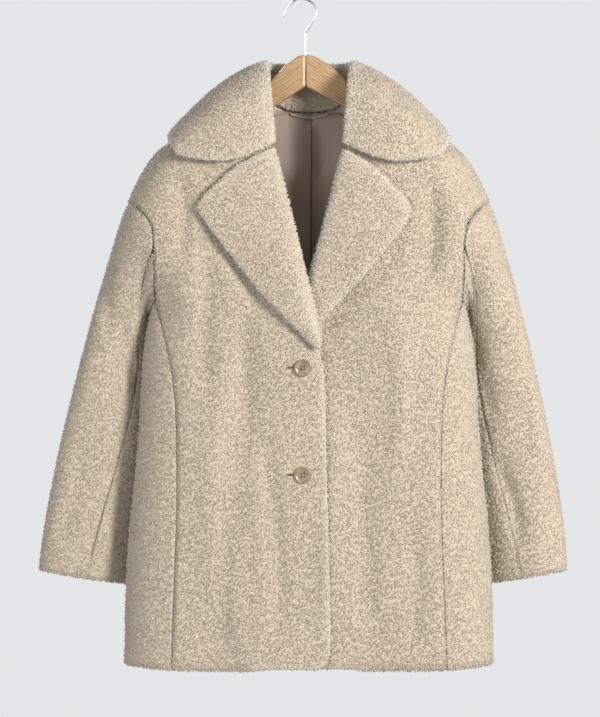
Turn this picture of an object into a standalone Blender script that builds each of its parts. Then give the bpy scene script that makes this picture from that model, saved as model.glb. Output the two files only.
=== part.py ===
"""Faux fur coat on a wooden hanger, one object for each piece a maker would cut.

Metres, +Z up. The origin is the inside of the hook's crown, where a rail or peg
bears. The coat faces -Y. The coat's own centre plane is x = 0 while the pieces
are worked out, and place() moves everything sideways at the end, because the
hook's crown does not lie on that plane. The wearer's right is at -X.
"""
import math

import bpy
import numpy as np

for old in list(bpy.data.objects):
    bpy.data.objects.remove(old, do_unlink=True)

# ---------------------------------------------------------------- driving sizes
PLANE_X = 0.0095          # the coat's centre plane, measured from the hook's crown
FUR = 0.006               # fur cloth with its pile and lining, outside to inside
TURNED = 0.0065           # the two cloths of a lapel or the collar, pressed together
LINING = 0.0012           # satin lining
SEAM_GAP = 0.0003         # between two pieces at a seam
FRONT_Y = -0.063          # outside of the front, where it hangs flattest
BACK_Y = 0.042            # outside of the back
SIDE_Y = -0.018           # the side's rounded edge, below the armhole
FRONT_SIDE_R = 0.075      # how far in the front takes to round into the side
BACK_SIDE_R = 0.14
SHOULDER_R = 0.05         # how far down the cloth takes to round over the shoulder
ARMPIT_Z = -0.414
HEM_Z = -0.9105
HEM_EDGE_LIFT = 0.005     # the hem is this much higher at the sides
# heights of the facet rows along the front edge, from the armpit's row to the hem
EDGE_ROWS = (-0.395, -0.440, -0.476, -0.500, -0.556, -0.610, -0.670, -0.730, -0.790, -0.851, -0.9135)
LOWER_ROWS = len(EDGE_ROWS) - 1
SHOULDER_COLS = 7         # columns of facets along one shoulder
NECK_COLS = 3             # columns from the neck point to the centre back
OVERLAP = 0.0085          # how far the under front lies behind the top front
V_OVERLAP = 0.0205        # the same, where a lapel lies between them

# side outline and the two long seams of the side panel: half widths by height
BODY = (
    # z, side, front_seam, back_seam
    (-0.414, 0.2118, 0.2085, 0.2030),
    (-0.435, 0.2190, 0.2070, 0.1980),
    (-0.466, 0.2240, 0.1950, 0.1900),
    (-0.500, 0.2270, 0.1860, 0.1830),
    (-0.554, 0.2302, 0.1796, 0.1760),
    (-0.655, 0.2390, 0.1780, 0.1700),
    (-0.724, 0.2450, 0.1790, 0.1680),
    (-0.795, 0.2500, 0.1820, 0.1680),
    (-0.912, 0.2515, 0.1860, 0.1700),
)
# the shoulder seam, from the neck point to the sleeve head
SHOULDER = (
    # x, z
    (0.0680, -0.1130),
    (0.1300, -0.1530),
    (0.1940, -0.1960),
    (0.2150, -0.2126),
    (0.2280, -0.2315),
    (0.2376, -0.2570),
    (0.2480, -0.2770),
)
# the armhole seam from the armpit up to the shoulder seam, with the height and
# offset at which each row of the panel meets the neck or the roll line
ARMHOLE = (
    # x, z, front_inner_z, back_centre_z
    (0.2085, -0.4140, -0.3950, -0.4140),
    (0.2100, -0.3800, -0.3350, -0.3700),
    (0.2090, -0.3450, -0.2800, -0.3250),
    (0.2100, -0.3210, -0.2350, -0.2850),
    (0.2160, -0.3030, -0.1980, -0.2450),
    (0.2305, -0.2890, -0.1650, -0.2050),
    (0.2400, -0.2815, -0.1370, -0.1750),
    (0.2480, -0.2770, -0.1130, -0.1500),
)
# back neck seam, from the neck point to the centre back
BACK_NECK = ((0.0680, -0.1130), (0.0600, -0.1345), (0.0380, -0.1465), (0.0, -0.1500))

# front edges, measured towards each front's own side. Above the break the edge is
# the roll line, where the lapel turns over
TOP_FRONT_EDGE = (
    # z, edge
    (-0.9135, -0.0310),
    (-0.7630, -0.0280),
    (-0.6150, -0.0240),
    (-0.5100, -0.0225),
    (-0.4780, -0.0201),
    (-0.4308, -0.0093),
    (-0.3899, 0.0014),
    (-0.3447, 0.0122),
    (-0.2909, 0.0251),
    (-0.2328, 0.0401),
    (-0.1962, 0.0480),
    (-0.1600, 0.0505),
    (-0.1300, 0.0535),
    (-0.1130, 0.0590),
)
UNDER_FRONT_EDGE = (
    (-0.9135, -0.0406),
    (-0.6000, -0.0406),
    (-0.5000, -0.0406),
    (-0.4700, -0.0345),
    (-0.4180, -0.0150),
    (-0.3684, 0.0029),
    (-0.3275, 0.0158),
    (-0.2758, 0.0287),
    (-0.2220, 0.0416),
    (-0.1919, 0.0470),
    (-0.1600, 0.0505),
    (-0.1300, 0.0535),
    (-0.1130, 0.0590),
)
# lapels: a row for each line across, from the gorge seam down to the break. The
# outer points run down the tip and the long edge
TOP_LAPEL = (
    # roll_z, mid_x, mid_z, out_x, out_z
    (-0.2065, 0.0980, -0.2300, 0.1545, -0.2840),
    (-0.2300, 0.0970, -0.2560, 0.1500, -0.2970),
    (-0.2620, 0.0820, -0.2900, 0.1260, -0.3290),
    (-0.2980, 0.0650, -0.3270, 0.1020, -0.3590),
    (-0.3400, 0.0450, -0.3660, 0.0720, -0.3985),
    (-0.3850, 0.0230, -0.4080, 0.0400, -0.4308),
    (-0.4300, 0.0015, -0.4450, 0.0100, -0.4609),
    (-0.4720, -0.0165, -0.4765, -0.0130, -0.4830),
)
UNDER_LAPEL = (
    (-0.2090, 0.0860, -0.2300, 0.1410, -0.2850),
    (-0.2350, 0.0880, -0.2600, 0.1375, -0.3060),
    (-0.2650, 0.0740, -0.2920, 0.1150, -0.3315),
    (-0.3000, 0.0560, -0.3270, 0.0870, -0.3670),
    (-0.3350, 0.0370, -0.3620, 0.0600, -0.3965),
    (-0.3750, 0.0170, -0.3980, 0.0320, -0.4260),
    (-0.4180, -0.0030, -0.4350, 0.0080, -0.4500),
    (-0.4600, -0.0220, -0.4680, -0.0160, -0.4760),
)
LAPEL_OUT = 0.0102        # a lapel's outside, forward of the front's outside
LAPEL_CROWN = 0.0030      # how much further its middle stands
TOP_ROLL_GAP = 0.0008     # between a lapel, where it turns, and its front's edge
UNDER_ROLL_GAP = 0.0013
# largest folds of the body: soft ridges (+) and troughs (-) down a panel
FOLDS = (
    # face, x_high, x_low, z_high, z_low, width, height
    ("front", -0.150, -0.140, -0.330, -0.640, 0.020, 0.0060),
    ("front", -0.095, -0.120, -0.470, -0.900, 0.022, -0.0050),
    ("front", -0.055, -0.070, -0.560, -0.910, 0.024, 0.0050),
    ("front", 0.150, 0.172, -0.250, -0.420, 0.016, -0.0050),
    ("front", 0.182, 0.195, -0.260, -0.430, 0.014, 0.0040),
    ("front", 0.110, 0.100, -0.520, -0.910, 0.026, -0.0050),
    ("front", 0.060, 0.055, -0.560, -0.910, 0.022, 0.0040),
    ("back", -0.120, -0.130, -0.420, -0.910, 0.028, 0.0060),
    ("back", -0.045, -0.060, -0.360, -0.910, 0.024, -0.0050),
    ("back", 0.030, 0.020, -0.450, -0.910, 0.026, 0.0050),
    ("back", 0.105, 0.118, -0.340, -0.910, 0.026, -0.0060),
    ("back", 0.165, 0.150, -0.260, -0.420, 0.018, 0.0040),
)
# sleeve: a row for each ring below the armhole. out is the overarm edge, in is
# the underarm edge, deep is half the depth front to back
SLEEVE = (
    # out_x, out_z, out_y, in_x, in_z, in_y, deep
    (0.2590, -0.3080, -0.0060, 0.2190, -0.4260, 0.0020, 0.0430),
    (0.2690, -0.3450, -0.0050, 0.2200, -0.4410, 0.0170, 0.0410),
    (0.2800, -0.3860, -0.0040, 0.2130, -0.4630, 0.0320, 0.0400),
    (0.2920, -0.4320, -0.0030, 0.2040, -0.4960, 0.0420, 0.0390),
    (0.3040, -0.4820, -0.0020, 0.1970, -0.5380, 0.0470, 0.0385),
    (0.3150, -0.5300, 0.0000, 0.1950, -0.5820, 0.0490, 0.0380),
    (0.3260, -0.5800, 0.0010, 0.1960, -0.6280, 0.0500, 0.0375),
    (0.3360, -0.6350, 0.0020, 0.2020, -0.6780, 0.0500, 0.0370),
    (0.3450, -0.6900, 0.0020, 0.2100, -0.7260, 0.0500, 0.0370),
    (0.3510, -0.7400, 0.0020, 0.2180, -0.7700, 0.0490, 0.0370),
    (0.3535, -0.7790, 0.0020, 0.2240, -0.8030, 0.0480, 0.0365),
)
SLEEVE_SEAM_COL = 5       # the sleeve's seams leave the armhole this far from the top
FRONT_SEAM_DEG = (132.0, 90.0)   # front sleeve seam around the ring, armhole to cuff
BACK_SEAM_DEG = (236.0, 262.0)
RIGHT_SWING = 0.016       # how much further out the wearer's right cuff hangs
SIDE_COLS = 3             # columns of the side panel on each side of its edge
# collar: a row for each line across it, from the front end round to the centre
# back. base meets the neck seam, roll is the fold, edge is the free edge
COLLAR = (
    # base xyz, roll xyz, over xyz, mid xyz, edge xyz
    ((0.0462, -0.0580, -0.2025), (0.0458, -0.0645, -0.2022), (0.0508, -0.0706, -0.2045),
     (0.1080, -0.0790, -0.2290), (0.1780, -0.0750, -0.2190)),
    ((0.0494, -0.0580, -0.1700), (0.0490, -0.0645, -0.1700), (0.0540, -0.0706, -0.1720),
     (0.1160, -0.0800, -0.1930), (0.1860, -0.0700, -0.2080)),
    ((0.0525, -0.0500, -0.1400), (0.0520, -0.0560, -0.1340), (0.0570, -0.0620, -0.1330),
     (0.1210, -0.0720, -0.1570), (0.1915, -0.0540, -0.1990)),
    ((0.0566, -0.0250, -0.1260), (0.0550, -0.0310, -0.1050), (0.0615, -0.0400, -0.1020),
     (0.1240, -0.0460, -0.1300), (0.1935, -0.0300, -0.1940)),
    ((0.0604, 0.0005, -0.1150), (0.0590, 0.0010, -0.0900), (0.0680, 0.0010, -0.0860),
     (0.1240, 0.0020, -0.1160), (0.1950, 0.0060, -0.1850)),
    ((0.0545, 0.0170, -0.1275), (0.0530, 0.0190, -0.0900), (0.0605, 0.0270, -0.0860),
     (0.1080, 0.0440, -0.1190), (0.1740, 0.0440, -0.1960)),
    ((0.0470, 0.0280, -0.1400), (0.0470, 0.0320, -0.0905), (0.0530, 0.0440, -0.0865),
     (0.0850, 0.0620, -0.1220), (0.1350, 0.0600, -0.1980)),
    ((0.0270, 0.0300, -0.1500), (0.0270, 0.0350, -0.0910), (0.0300, 0.0480, -0.0870),
     (0.0460, 0.0660, -0.1260), (0.0720, 0.0640, -0.1990)),
    ((0.0000, 0.0300, -0.1530), (0.0000, 0.0355, -0.0910), (0.0000, 0.0490, -0.0870),
     (0.0000, 0.0670, -0.1280), (0.0000, 0.0650, -0.1990)),
)
BUTTONS = (
    # x, z
    (-0.0085, -0.5040),
    (-0.0085, -0.6480),
)
BUTTON_R = 0.0120
BUTTON_T = 0.0036
BUTTON_RISE = 0.0007      # between the cloth and the button's back
# lining of the back, hung from the neck seam: half width and height by row
LINING_ROWS = (
    # z, half_width
    (-0.1533, 0.0440),
    (-0.1800, 0.0760),
    (-0.2300, 0.1150),
    (-0.3000, 0.1300),
    (-0.3600, 0.1330),
    (-0.4400, 0.1330),
    (-0.5500, 0.1330),
    (-0.7000, 0.1330),
    (-0.8700, 0.1330),
)
LINING_TOP_Y = 0.0300
LINING_Y = 0.0255         # how far back the lining hangs
LINING_COLS = 5
LOOP = {"left": -0.0257, "right": 0.0270, "z": -0.1520, "sag": 0.0055, "wide": 0.0045,
        "thick": 0.0013, "y": 0.0268, "cols": 10}
PLEAT_X = 0.0030          # the lining's centre-back pleat
# hanger: one arm's outline, half in from its middle
ARM_T = 0.014             # the wooden arms, front to back
ARM_ROUND = 0.003         # rounding of their edges
HANGER_X = -0.0046        # the hanger's middle, from the coat's centre plane
ARM_SHIFT_END = 0.056     # past this the arms lie evenly in the shoulders
ARM_OUTLINE = (
    # x, z: the top edge outwards, then the lower edge back
    (0.0000, -0.0760),
    (0.0120, -0.0785),
    (0.0300, -0.0900),
    (0.0500, -0.1100),
    (0.0600, -0.1235),
    (0.0720, -0.1325),
    (0.1300, -0.1655),
    (0.1900, -0.2053),
    (0.2005, -0.2148),
    (0.2035, -0.2200),
    (0.2010, -0.2260),
    (0.1930, -0.2270),
    (0.1300, -0.1890),
    (0.0700, -0.1580),
    (0.0480, -0.1480),
    (0.0000, -0.1197),
)
WIRE_R = 0.0014
HOOK = (
    # x, z of the wire's centre line, from the wood up and round to the tip
    (-0.0051, -0.0765),
    (-0.0051, -0.0500),
    (-0.0030, -0.0440),
    (0.0030, -0.0350),
    (0.0084, -0.0262),
    (0.0106, -0.0180),
    (0.0082, -0.0098),
    (0.0015, -0.0030),
    (-0.0095, 0.0014),
    (-0.0185, -0.0010),
    (-0.0245, -0.0070),
    (-0.0300, -0.0160),
    (-0.0350, -0.0245),
)

COLOURS = {
    "fur": (0.66, 0.58, 0.48, 1.0),
    "lining": (0.40, 0.33, 0.29, 1.0),
    "wood": (0.70, 0.50, 0.30, 1.0),
    "steel": (0.75, 0.75, 0.76, 1.0),
    "button": (0.42, 0.35, 0.27, 1.0),
}
ROUGHNESS = {"fur": 0.95, "lining": 0.45, "wood": 0.5, "steel": 0.25, "button": 0.4}


# ---------------------------------------------------------------- helpers
def smooth(value):
    """0 to 1 with level ends."""
    t = min(max(value, 0.0), 1.0)
    return t * t * (3 - 2 * t)


def along(rows, key, column, at):
    """A table's column at a height, by straight lines between its rows."""
    ordered = sorted(rows, key=lambda row: row[key])
    keys = [row[key] for row in ordered]
    return float(np.interp(at, keys, [row[column] for row in ordered]))


def even_points(path, count):
    """count + 1 points at even distances along a path."""
    path = np.array(path, float)
    steps = np.linalg.norm(np.diff(path, axis=0), axis=1)
    done = np.concatenate([[0], np.cumsum(steps)])
    wanted = np.linspace(0, done[-1], count + 1)
    return np.stack([np.interp(wanted, done, path[:, k]) for k in range(path.shape[1])], axis=1)


def spline(points, count):
    """A Catmull-Rom curve through the points, count steps to a span."""
    points = [np.array(p, float) for p in points]
    ends = [2 * points[0] - points[1]] + points + [2 * points[-1] - points[-2]]
    curve = []
    for a, b, c, d in zip(ends, ends[1:], ends[2:], ends[3:]):
        for step in range(count):
            t = step / count
            curve.append(0.5 * (2 * b + (c - a) * t + (2 * a - 5 * b + 4 * c - d) * t * t
                                + (3 * b - a - 3 * c + d) * t ** 3))
    curve.append(points[-1])
    return np.array(curve)


def rounded(inside, reach, power=2.0):
    """0 on an outline, rising to 1 at reach inside it, upright on the outline."""
    t = min(max(inside / reach, 0.0), 1.0)
    return (1 - (1 - t) ** power) ** (1 / power)


def unit(vector):
    return vector / max(np.linalg.norm(vector), 1e-9)


def place(points):
    """From the coat's own centre plane to the hook's frame."""
    return [(p[0] + PLANE_X, p[1], p[2]) for p in points]


def material(kind, name):
    made = bpy.data.materials.new(name)
    made.use_nodes = True
    shader = made.node_tree.nodes["Principled BSDF"]
    shader.inputs["Base Color"].default_value = COLOURS[kind]
    shader.inputs["Roughness"].default_value = ROUGHNESS[kind]
    shader.inputs["Metallic"].default_value = 1.0 if kind == "steel" else 0.0
    return made


def add_object(name, kind, vertices, faces):
    mesh = bpy.data.meshes.new(name)
    mesh.from_pydata(place(vertices), [], faces)
    mesh.validate()
    mesh.shade_smooth()
    mesh.set_sharp_from_angle(angle=math.radians(50))
    made = bpy.data.objects.new(name, mesh)
    mesh.materials.append(material(kind, name + "_finish"))
    bpy.context.collection.objects.link(made)
    return made


# ---------------------------------------------------------------- the body's form
SHOULDER_LINE = even_points([(x, 0, z) for x, z in SHOULDER], 60)[:, [0, 2]]


def side_reach(x, z):
    """How far a point lies inside the side outline, which fans out above the armpit."""
    if z < ARMPIT_Z:
        return along(BODY, 0, 1, z) - abs(x)
    armhole = along(ARMHOLE, 1, 0, z)
    return armhole + 0.0033 + (z - ARMPIT_Z) - abs(x)


def shoulder_reach(x, z):
    """How far a point lies below the shoulder seam."""
    gaps = SHOULDER_LINE - np.array([abs(x), z])
    return float(np.min(np.linalg.norm(gaps, axis=1)))


def middle_y(z):
    """Where front and back meet: forward at the sides, level at the shoulder."""
    return SIDE_Y * (1 - smooth((z - ARMPIT_Z) / 0.13))


def folds(face, x, z):
    total = 0.0
    for side, x_high, x_low, z_high, z_low, width, height in FOLDS:
        if side != face:
            continue
        down = (z_high - z) / (z_high - z_low)
        if down <= 0 or down >= 1.25:
            continue
        centre = x_high + (x_low - x_high) * down
        total += height * math.exp(-((x - centre) / width) ** 2) * smooth(down * 3.0) \
            * smooth((1.25 - down) * 4.0)
    return total


def overlap_shift(x, z, top):
    """The top front stands forward of the under front where they lap."""
    near = 1 - smooth((abs(x) - 0.035) / 0.075)
    in_v = smooth((z + 0.545) / 0.045) * (1 - smooth((z + 0.375) / 0.085))
    lapped = 1 - smooth((z + 0.375) / 0.085)
    apart = (OVERLAP + (V_OVERLAP - OVERLAP) * in_v) * lapped * near
    return -0.4 * apart if top else 0.6 * apart


def front_y(x, z, top):
    hollow = rounded(side_reach(x, z), FRONT_SIDE_R) * rounded(shoulder_reach(x, z), SHOULDER_R)
    middle = middle_y(z)
    crown = 0.002 * math.cos(abs(x) * 9)
    flat = FRONT_Y + crown - folds("front", x, z) + overlap_shift(x, z, top)
    return middle + (flat - middle) * hollow


def back_hollow(x, z):
    return rounded(side_reach(x, z), BACK_SIDE_R, 1.6) * rounded(shoulder_reach(x, z), SHOULDER_R)


def back_y(x, z):
    hollow = back_hollow(x, z)
    middle = middle_y(z)
    crown = 0.002 * math.cos(abs(x) * 9)
    flat = BACK_Y + crown + folds("back", x, z)
    return middle + (flat - middle) * hollow


# ---------------------------------------------------------------- walls of cloth
class Cloth:
    """Grids of outside points whose shared seams get one direction of thickness."""

    def __init__(self):
        self.grids = {}
        self.directions = {}

    def key(self, point):
        return tuple(int(round(c * 1e6)) for c in point)

    def add(self, name, grid, turn=1):
        grid = np.array(grid, float)
        self.grids[name] = grid
        rows, cols = grid.shape[:2]
        for i in range(rows - 1):
            for j in range(cols - 1):
                corners = (grid[i, j], grid[i, j + 1], grid[i + 1, j + 1], grid[i + 1, j])
                facing = np.cross(corners[2] - corners[0], corners[3] - corners[1]) * turn
                facing = unit(facing)
                for corner in corners:
                    where = self.key(corner)
                    self.directions[where] = self.directions.get(where, np.zeros(3)) + facing

    def direction(self, point):
        return unit(self.directions[self.key(point)])


def rim_order(point):
    return tuple(int(round(c * 1e5)) for c in (point[2], abs(point[0]), point[1]))


def inset(grid, out, amount):
    """The grid with its border drawn in, at right angles to the seam's rim."""
    moved = grid.copy()
    rows, cols = grid.shape[:2]
    borders = (
        [((0, j), (1, j), (0, max(j - 1, 0)), (0, min(j + 1, cols - 1))) for j in range(cols)]
        + [((rows - 1, j), (rows - 2, j), (rows - 1, max(j - 1, 0)), (rows - 1, min(j + 1, cols - 1)))
           for j in range(cols)]
        + [((i, 0), (i, 1), (max(i - 1, 0), 0), (min(i + 1, rows - 1), 0)) for i in range(rows)]
        + [((i, cols - 1), (i, cols - 2), (max(i - 1, 0), cols - 1), (min(i + 1, rows - 1), cols - 1))
           for i in range(rows)]
    )
    for here, inner, before, after in borders:
        run = unit(grid[after] - grid[before])
        across = unit(np.cross(run, out[here]))
        if np.dot(across, grid[inner] - grid[here]) < 0:
            across = -across
        moved[here] = moved[here] + across * amount
    return moved


def wall(name, kind, grid, out, thickness, gap=SEAM_GAP / 2):
    """A closed sheet: the grid is its outside, out the directions it faces."""
    rows, cols = grid.shape[:2]
    outer = inset(grid, out, gap)
    inner = outer - out * thickness
    vertices = [tuple(p) for p in outer.reshape(-1, 3)] + [tuple(p) for p in inner.reshape(-1, 3)]
    half = rows * cols

    def number(i, j, side):
        return side * half + i * cols + j

    faces = []
    for i in range(rows - 1):
        for j in range(cols - 1):
            a, b, c, d = (i, j), (i, j + 1), (i + 1, j + 1), (i + 1, j)
            centre = np.cross(grid[c] - grid[a], grid[d] - grid[b])
            facing = np.dot(centre, out[a] + out[c]) > 0
            for side in (0, 1):
                corners = [number(*a, side), number(*b, side), number(*c, side), number(*d, side)]
                if facing == (side == 1):
                    corners.reverse()
                faces += [corners[:3], [corners[0], corners[2], corners[3]]]
    border = [(0, j) for j in range(cols)] + [(i, cols - 1) for i in range(1, rows)] \
        + [(rows - 1, j) for j in range(cols - 2, -1, -1)] + [(i, 0) for i in range(rows - 2, 0, -1)]
    # the rim runs against the outer faces' own edges, so that the shell closes
    probe = np.cross(grid[1, 1] - grid[0, 0], grid[1, 0] - grid[0, 1])
    forward = np.dot(probe, out[0, 0] + out[1, 1]) > 0
    for a, b in zip(border, border[1:] + border[:1]):
        outer_a, outer_b = number(*a, 0), number(*b, 0)
        inner_a, inner_b = number(*a, 1), number(*b, 1)
        if rim_order(grid[a]) > rim_order(grid[b]):
            pair = [[outer_a, inner_b, outer_b], [outer_a, inner_a, inner_b]]
        else:
            pair = [[outer_b, outer_a, inner_a], [outer_b, inner_a, inner_b]]
        faces += pair if forward else [list(reversed(face)) for face in pair]
    return add_object(name, kind, vertices, faces)


# ---------------------------------------------------------------- body grids
def lower_row(step):
    """The heights of one row below the armpit: at the long seam and at the front edge."""
    return ARMPIT_Z + (HEM_Z - ARMPIT_Z) * step / LOWER_ROWS, EDGE_ROWS[step]


def setback(z, top):
    """The front stops short of the roll line, so that the lapel can turn round it."""
    return (TURNED + (TOP_ROLL_GAP if top else UNDER_ROLL_GAP)) * smooth((z - EDGE_ROWS[3]) / (EDGE_ROWS[2] - EDGE_ROWS[3]))


def front_grid(edge, top):
    """One front in its own half: columns from the front edge to the armhole or side seam."""
    shoulder = even_points(SHOULDER, SHOULDER_COLS)
    rows = []
    for step in range(LOWER_ROWS, 0, -1):
        outer_z, inner_z = lower_row(step)
        start = np.array([along(edge, 0, 1, inner_z) + setback(inner_z, top), inner_z])
        end = np.array([along(BODY, 0, 2, outer_z), outer_z])
        rows.append([start + (end - start) * c / SHOULDER_COLS for c in range(SHOULDER_COLS + 1)])
    count = len(ARMHOLE) - 1
    for k, (x, z, inner_z, _) in enumerate(ARMHOLE):
        if k == count:
            start = np.array(SHOULDER[0])
        else:
            start = np.array([along(edge, 0, 1, inner_z) + setback(inner_z, top), inner_z])
        end = np.array([x, z])
        bend = smooth((k / count) ** 0.8)
        row = []
        for c in range(SHOULDER_COLS + 1):
            share = c / SHOULDER_COLS
            flat = start + (end - start) * share
            seam = shoulder[c] - (shoulder[0] + (shoulder[-1] - shoulder[0]) * share)
            row.append(flat + seam * bend)
        rows.append(row)
    side = -1 if top else 1
    return [[(side * p[0], front_y(side * p[0], p[1], top), p[1]) for p in row] for row in rows]


def back_grid():
    """The whole back: columns from the wearer's right armhole across to the left."""
    shoulder = even_points(SHOULDER, SHOULDER_COLS)
    neck = even_points(BACK_NECK, NECK_COLS)
    top = [neck[NECK_COLS - c] for c in range(NECK_COLS)] + [shoulder[c] for c in range(SHOULDER_COLS + 1)]
    count = len(top) - 1
    shares = [np.interp(c, (0, NECK_COLS, count), (0, 0.27, 1)) for c in range(count + 1)]
    rows = []
    for step in range(LOWER_ROWS, 0, -1):
        z = lower_row(step)[0]
        width = along(BODY, 0, 3, z)
        rows.append([np.array([width * share, z]) for share in shares])
    last = len(ARMHOLE) - 1
    for k, (x, z, _, centre_z) in enumerate(ARMHOLE):
        outer_x = along(BODY, 0, 3, ARMPIT_Z) if k == 0 else x
        start, end = np.array([0.0, centre_z]), np.array([outer_x, z])
        bend = smooth((k / last) ** 0.8)
        row = []
        for c, share in enumerate(shares):
            flat = start + (end - start) * share
            seam = top[c] - (top[0] + (top[-1] - top[0]) * share)
            row.append(flat + seam * bend)
        rows.append(row)
    grid = []
    for row in rows:
        half = [(p[0], p[1]) for p in row]
        full = [(-x, z) for x, z in reversed(half[1:])] + half
        grid.append([(x, back_y(x, z), z) for x, z in full])
    top_row = grid[-1]
    neck_point = (len(top_row) - 1) // 2
    for c in range(len(top_row)):
        if abs(c - neck_point) >= NECK_COLS:
            top_row[c] = (top_row[c][0], middle_y(top_row[c][2]), top_row[c][2])
    return grid


def side_grid(side):
    """A side panel, from the front seam round its edge to the back seam."""
    rows = []
    for step in range(LOWER_ROWS, -1, -1):
        z = lower_row(step)[0]
        lift = HEM_EDGE_LIFT * smooth(step / LOWER_ROWS * 2 - 1)
        edge = along(BODY, 0, 1, z)
        row = []
        for part, seam in (("front", along(BODY, 0, 2, z)), ("back", along(BODY, 0, 3, z))):
            reach = edge - seam
            turns = range(SIDE_COLS + 1) if part == "front" else range(SIDE_COLS - 1, -1, -1)
            for turn in turns:
                share = math.sin(math.pi / 2 * turn / SIDE_COLS)
                x = seam + reach * share
                height = z + lift * share
                if turn == SIDE_COLS:
                    y = middle_y(z)
                elif part == "front":
                    y = front_y(side * x, height, side < 0) if turn else front_y(side * x, z, side < 0)
                else:
                    y = back_y(side * x, height) if turn else back_y(side * x, z)
                row.append((side * x, y, height))
        rows.append(row)
    return rows


def sleeve_rings(front, back, gusset, side):
    """Rings of a sleeve: the first is the armhole itself, read off the body's pieces."""
    up = len(ARMHOLE) - 1
    front_run = [front[LOWER_ROWS + up - k][-1] for k in range(up + 1)]
    back_col = -1 if side > 0 else 0
    back_run = [back[LOWER_ROWS + k][back_col] for k in range(up + 1)]
    first = [np.array(p, float) for p in front_run + list(gusset[-1][1:-1]) + back_run[:-1]]
    count = len(first)
    bottom = up + SIDE_COLS
    top_point, low_point = first[0], first[bottom]
    deep_first = 0.045

    def frame(out, low, deep):
        long_axis = (out - low) / 2
        depth = np.array([0, -deep, 0])
        return (out + low) / 2, long_axis, depth, unit(np.cross(long_axis, depth))

    centre, long_axis, depth, normal = frame(top_point, low_point, deep_first)
    basis = np.stack([long_axis, depth, normal], axis=1)
    start = [np.linalg.solve(basis, p - centre) for p in first]
    rings = [first]
    for k, row in enumerate(SLEEVE):
        share = (k + 1) / len(SLEEVE)
        swing = RIGHT_SWING * share ** 1.5 if side < 0 else 0.0
        out = np.array([side * (row[0] + swing), row[2], row[1]])
        low = np.array([side * (row[3] + swing * 0.8), row[5], row[4]])
        centre, long_axis, depth, normal = frame(out, low, row[6])
        settled = smooth((k + 1) / 5)
        front_seam = FRONT_SEAM_DEG[0] + (FRONT_SEAM_DEG[1] - FRONT_SEAM_DEG[0]) * smooth(share)
        back_seam = BACK_SEAM_DEG[0] + (BACK_SEAM_DEG[1] - BACK_SEAM_DEG[0]) * smooth(share)
        ring = []
        for j in range(count):
            degrees = np.interp(j, (0, SLEEVE_SEAM_COL, bottom, count - SLEEVE_SEAM_COL, count),
                                (0, front_seam, 180, back_seam, 360))
            angle = math.radians(degrees)
            target = np.array([math.cos(angle), math.sin(angle), 0.0])
            mixed = start[j] * (1 - settled) + target * settled
            ring.append(centre + long_axis * mixed[0] + depth * mixed[1] + normal * mixed[2])
        rings.append(ring)
    return rings, count


def build_body():
    """Fronts, back, side panels and sleeves, whose seams are shared."""
    cloth = Cloth()
    fronts = {-1: front_grid(TOP_FRONT_EDGE, True), 1: front_grid(UNDER_FRONT_EDGE, False)}
    back = back_grid()
    for front in fronts.values():
        front[-1] = [(p[0], middle_y(p[2]), p[2]) for p in front[-1]]
    cloth.add("back", back, -1)
    for side, hand in ((-1, "right"), (1, "left")):
        gusset = side_grid(side)
        cloth.add("front_" + hand, fronts[side], side)
        cloth.add("side_panel_" + hand, gusset, side)
        rings, count = sleeve_rings(fronts[side], back, gusset, side)
        upper = [[ring[j % count] for j in range(count - SLEEVE_SEAM_COL, count + SLEEVE_SEAM_COL + 1)]
                 for ring in rings]
        under = [[ring[j] for j in range(SLEEVE_SEAM_COL, count - SLEEVE_SEAM_COL + 1)]
                 for ring in rings]
        cloth.add("sleeve_upper_" + hand, upper, side)
        cloth.add("sleeve_under_" + hand, under, side)
    finish(cloth, "fur", FUR)


def finish(cloth, kind, thickness):
    """Make each grid of a group of cloths a closed wall."""
    for name, grid in cloth.grids.items():
        out = np.array([[cloth.direction(p) for p in row] for row in grid])
        wall(name, kind, grid, out, thickness)


# ---------------------------------------------------------------- lapels and collar
def build_lapel(name, table, edge, side):
    """A lapel turned round the front's edge and laid out over the front."""
    top = side < 0
    grid = []
    for roll_z, mid_x, mid_z, out_x, out_z in table:
        roll_x = along(edge, 0, 1, roll_z)
        low = smooth((-0.36 - roll_z) / 0.04) if not top else 0.0
        lift = LAPEL_CROWN * (1 - low)
        lies = LAPEL_OUT + 0.0014 * low
        path = [
            (roll_x - 0.0002, roll_z, -0.0030),
            (roll_x - 0.0006, roll_z, 0.0038),
            (roll_x + 0.0040, roll_z - 0.001, 0.0089),
            (roll_x + 0.3 * (mid_x - roll_x) + 0.003, roll_z + 0.3 * (mid_z - roll_z), lies + lift * 0.6),
            (roll_x + 0.65 * (mid_x - roll_x), roll_z + 0.65 * (mid_z - roll_z), lies + lift),
            (mid_x, mid_z, lies + lift),
            ((mid_x + out_x) / 2, (mid_z + out_z) / 2, lies + lift * 0.7),
            (out_x, out_z, lies),
        ]
        row = []
        for x, z, off in path:
            base_x = max(x, roll_x + TURNED)
            row.append((side * x, front_y(side * base_x, z, top) - off, z))
        grid.append(row)
    cloth = Cloth()
    cloth.add(name, grid, -side)
    finish(cloth, "fur", TURNED)


def build_collar():
    """One cloth from the neck seam up, over the roll and down to its free edge."""
    half = [[np.array(point) for point in row] for row in COLLAR]
    right = [[point * np.array([-1, 1, 1]) for point in row] for row in half]
    stations = right + half[-2::-1]
    columns = [spline([row[k] for row in stations], 2) for k in range(len(COLLAR[0]))]
    grid = [spline([column[i] for column in columns], 2) for i in range(len(columns[0]))]
    cloth = Cloth()
    cloth.add("collar", grid, -1)
    finish(cloth, "fur", TURNED)


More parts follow.
